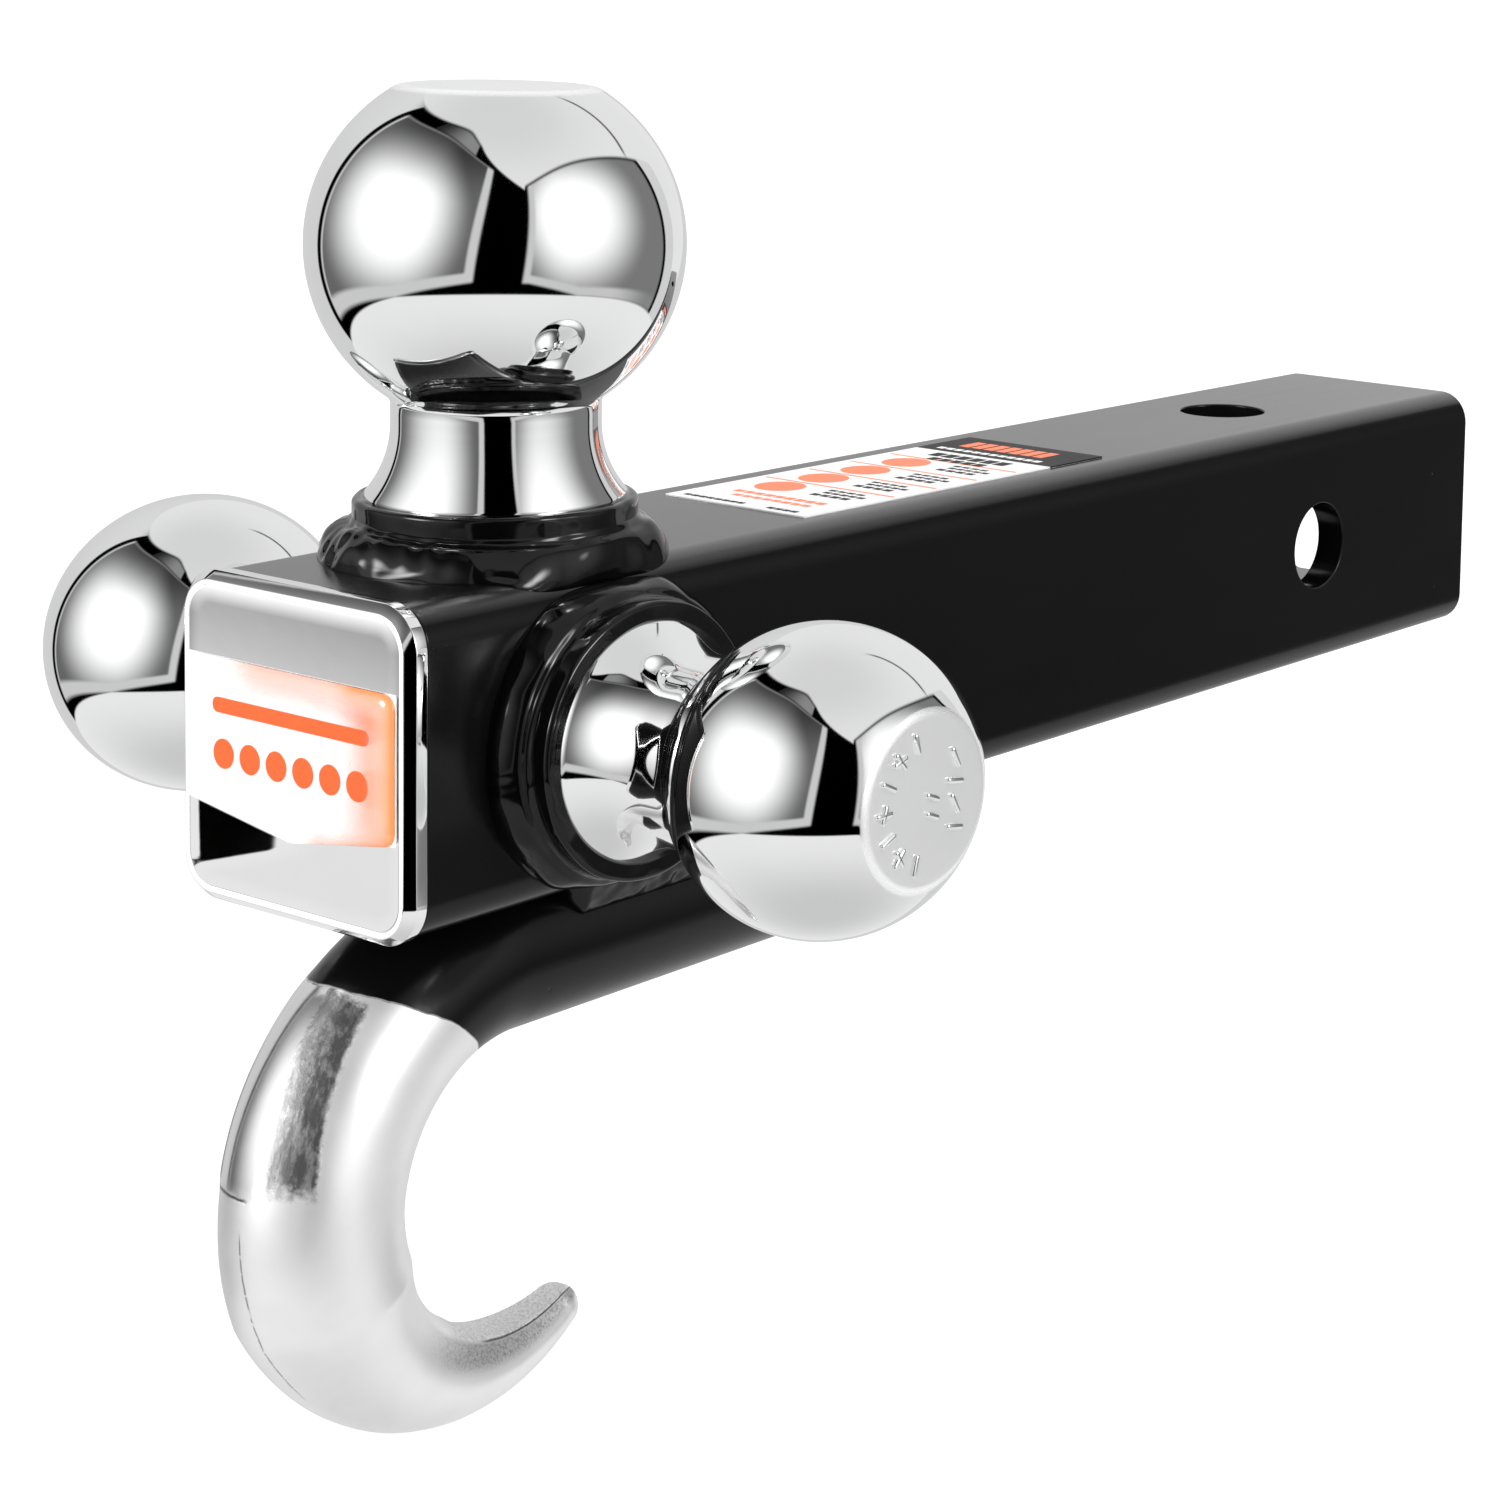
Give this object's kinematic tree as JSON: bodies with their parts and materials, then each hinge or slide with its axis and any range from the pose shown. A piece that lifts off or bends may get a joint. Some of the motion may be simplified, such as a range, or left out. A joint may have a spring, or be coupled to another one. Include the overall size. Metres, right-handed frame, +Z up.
{
  "type": "trailer hitch with balls",
  "caption": "Square hollow hitch shank with chromed tow balls on three sides, a forged tow hook below and a chromed push-in front cap with a badge.",
  "frame": {"origin": "where the hitch pin's axis crosses the shank's centre line", "axes": "+Y along the shank into the receiver, +Z up, +X towards the 1-7/8 in ball"},
  "size_m": [0.1833, 0.3075, 0.2152],
  "materials": {
    "powder_coat": "satin black powder coat",
    "painted_weld": "glossy black paint over a lumpy bead",
    "ball_chrome": "polished chrome plate",
    "hook_plating": "chrome over a rough forging, painted black at the arm",
    "cap_chrome": "mirror chrome plate",
    "plug_rubber": "moulded black rubber",
    "badge_print": "white foil with an orange print",
    "clear_resin": "clear domed resin",
    "label_film": "printed vinyl label"
  },
  "bodies": {
    "mount": {"shank_tube": "powder_coat", "top_ball": "ball_chrome", "near_ball": "ball_chrome", "far_ball": "ball_chrome", "top_ball_weld": "painted_weld", "near_ball_weld": "painted_weld", "far_ball_weld": "painted_weld", "tow_hook": "hook_plating", "hook_weld_near": "painted_weld", "hook_weld_far": "painted_weld", "hook_weld_rear": "painted_weld", "rating_label": "label_film"},
    "cap": {"front_cap": "cap_chrome", "cap_plug": "plug_rubber", "badge_foil": "badge_print", "badge_dome": "clear_resin"}
  },
  "joints": [
    {"name": "cap_pull", "type": "slide", "parent": "mount", "child": "cap", "axis": [0, -1, 0], "range_m": [0, 0.045]}
  ]
}
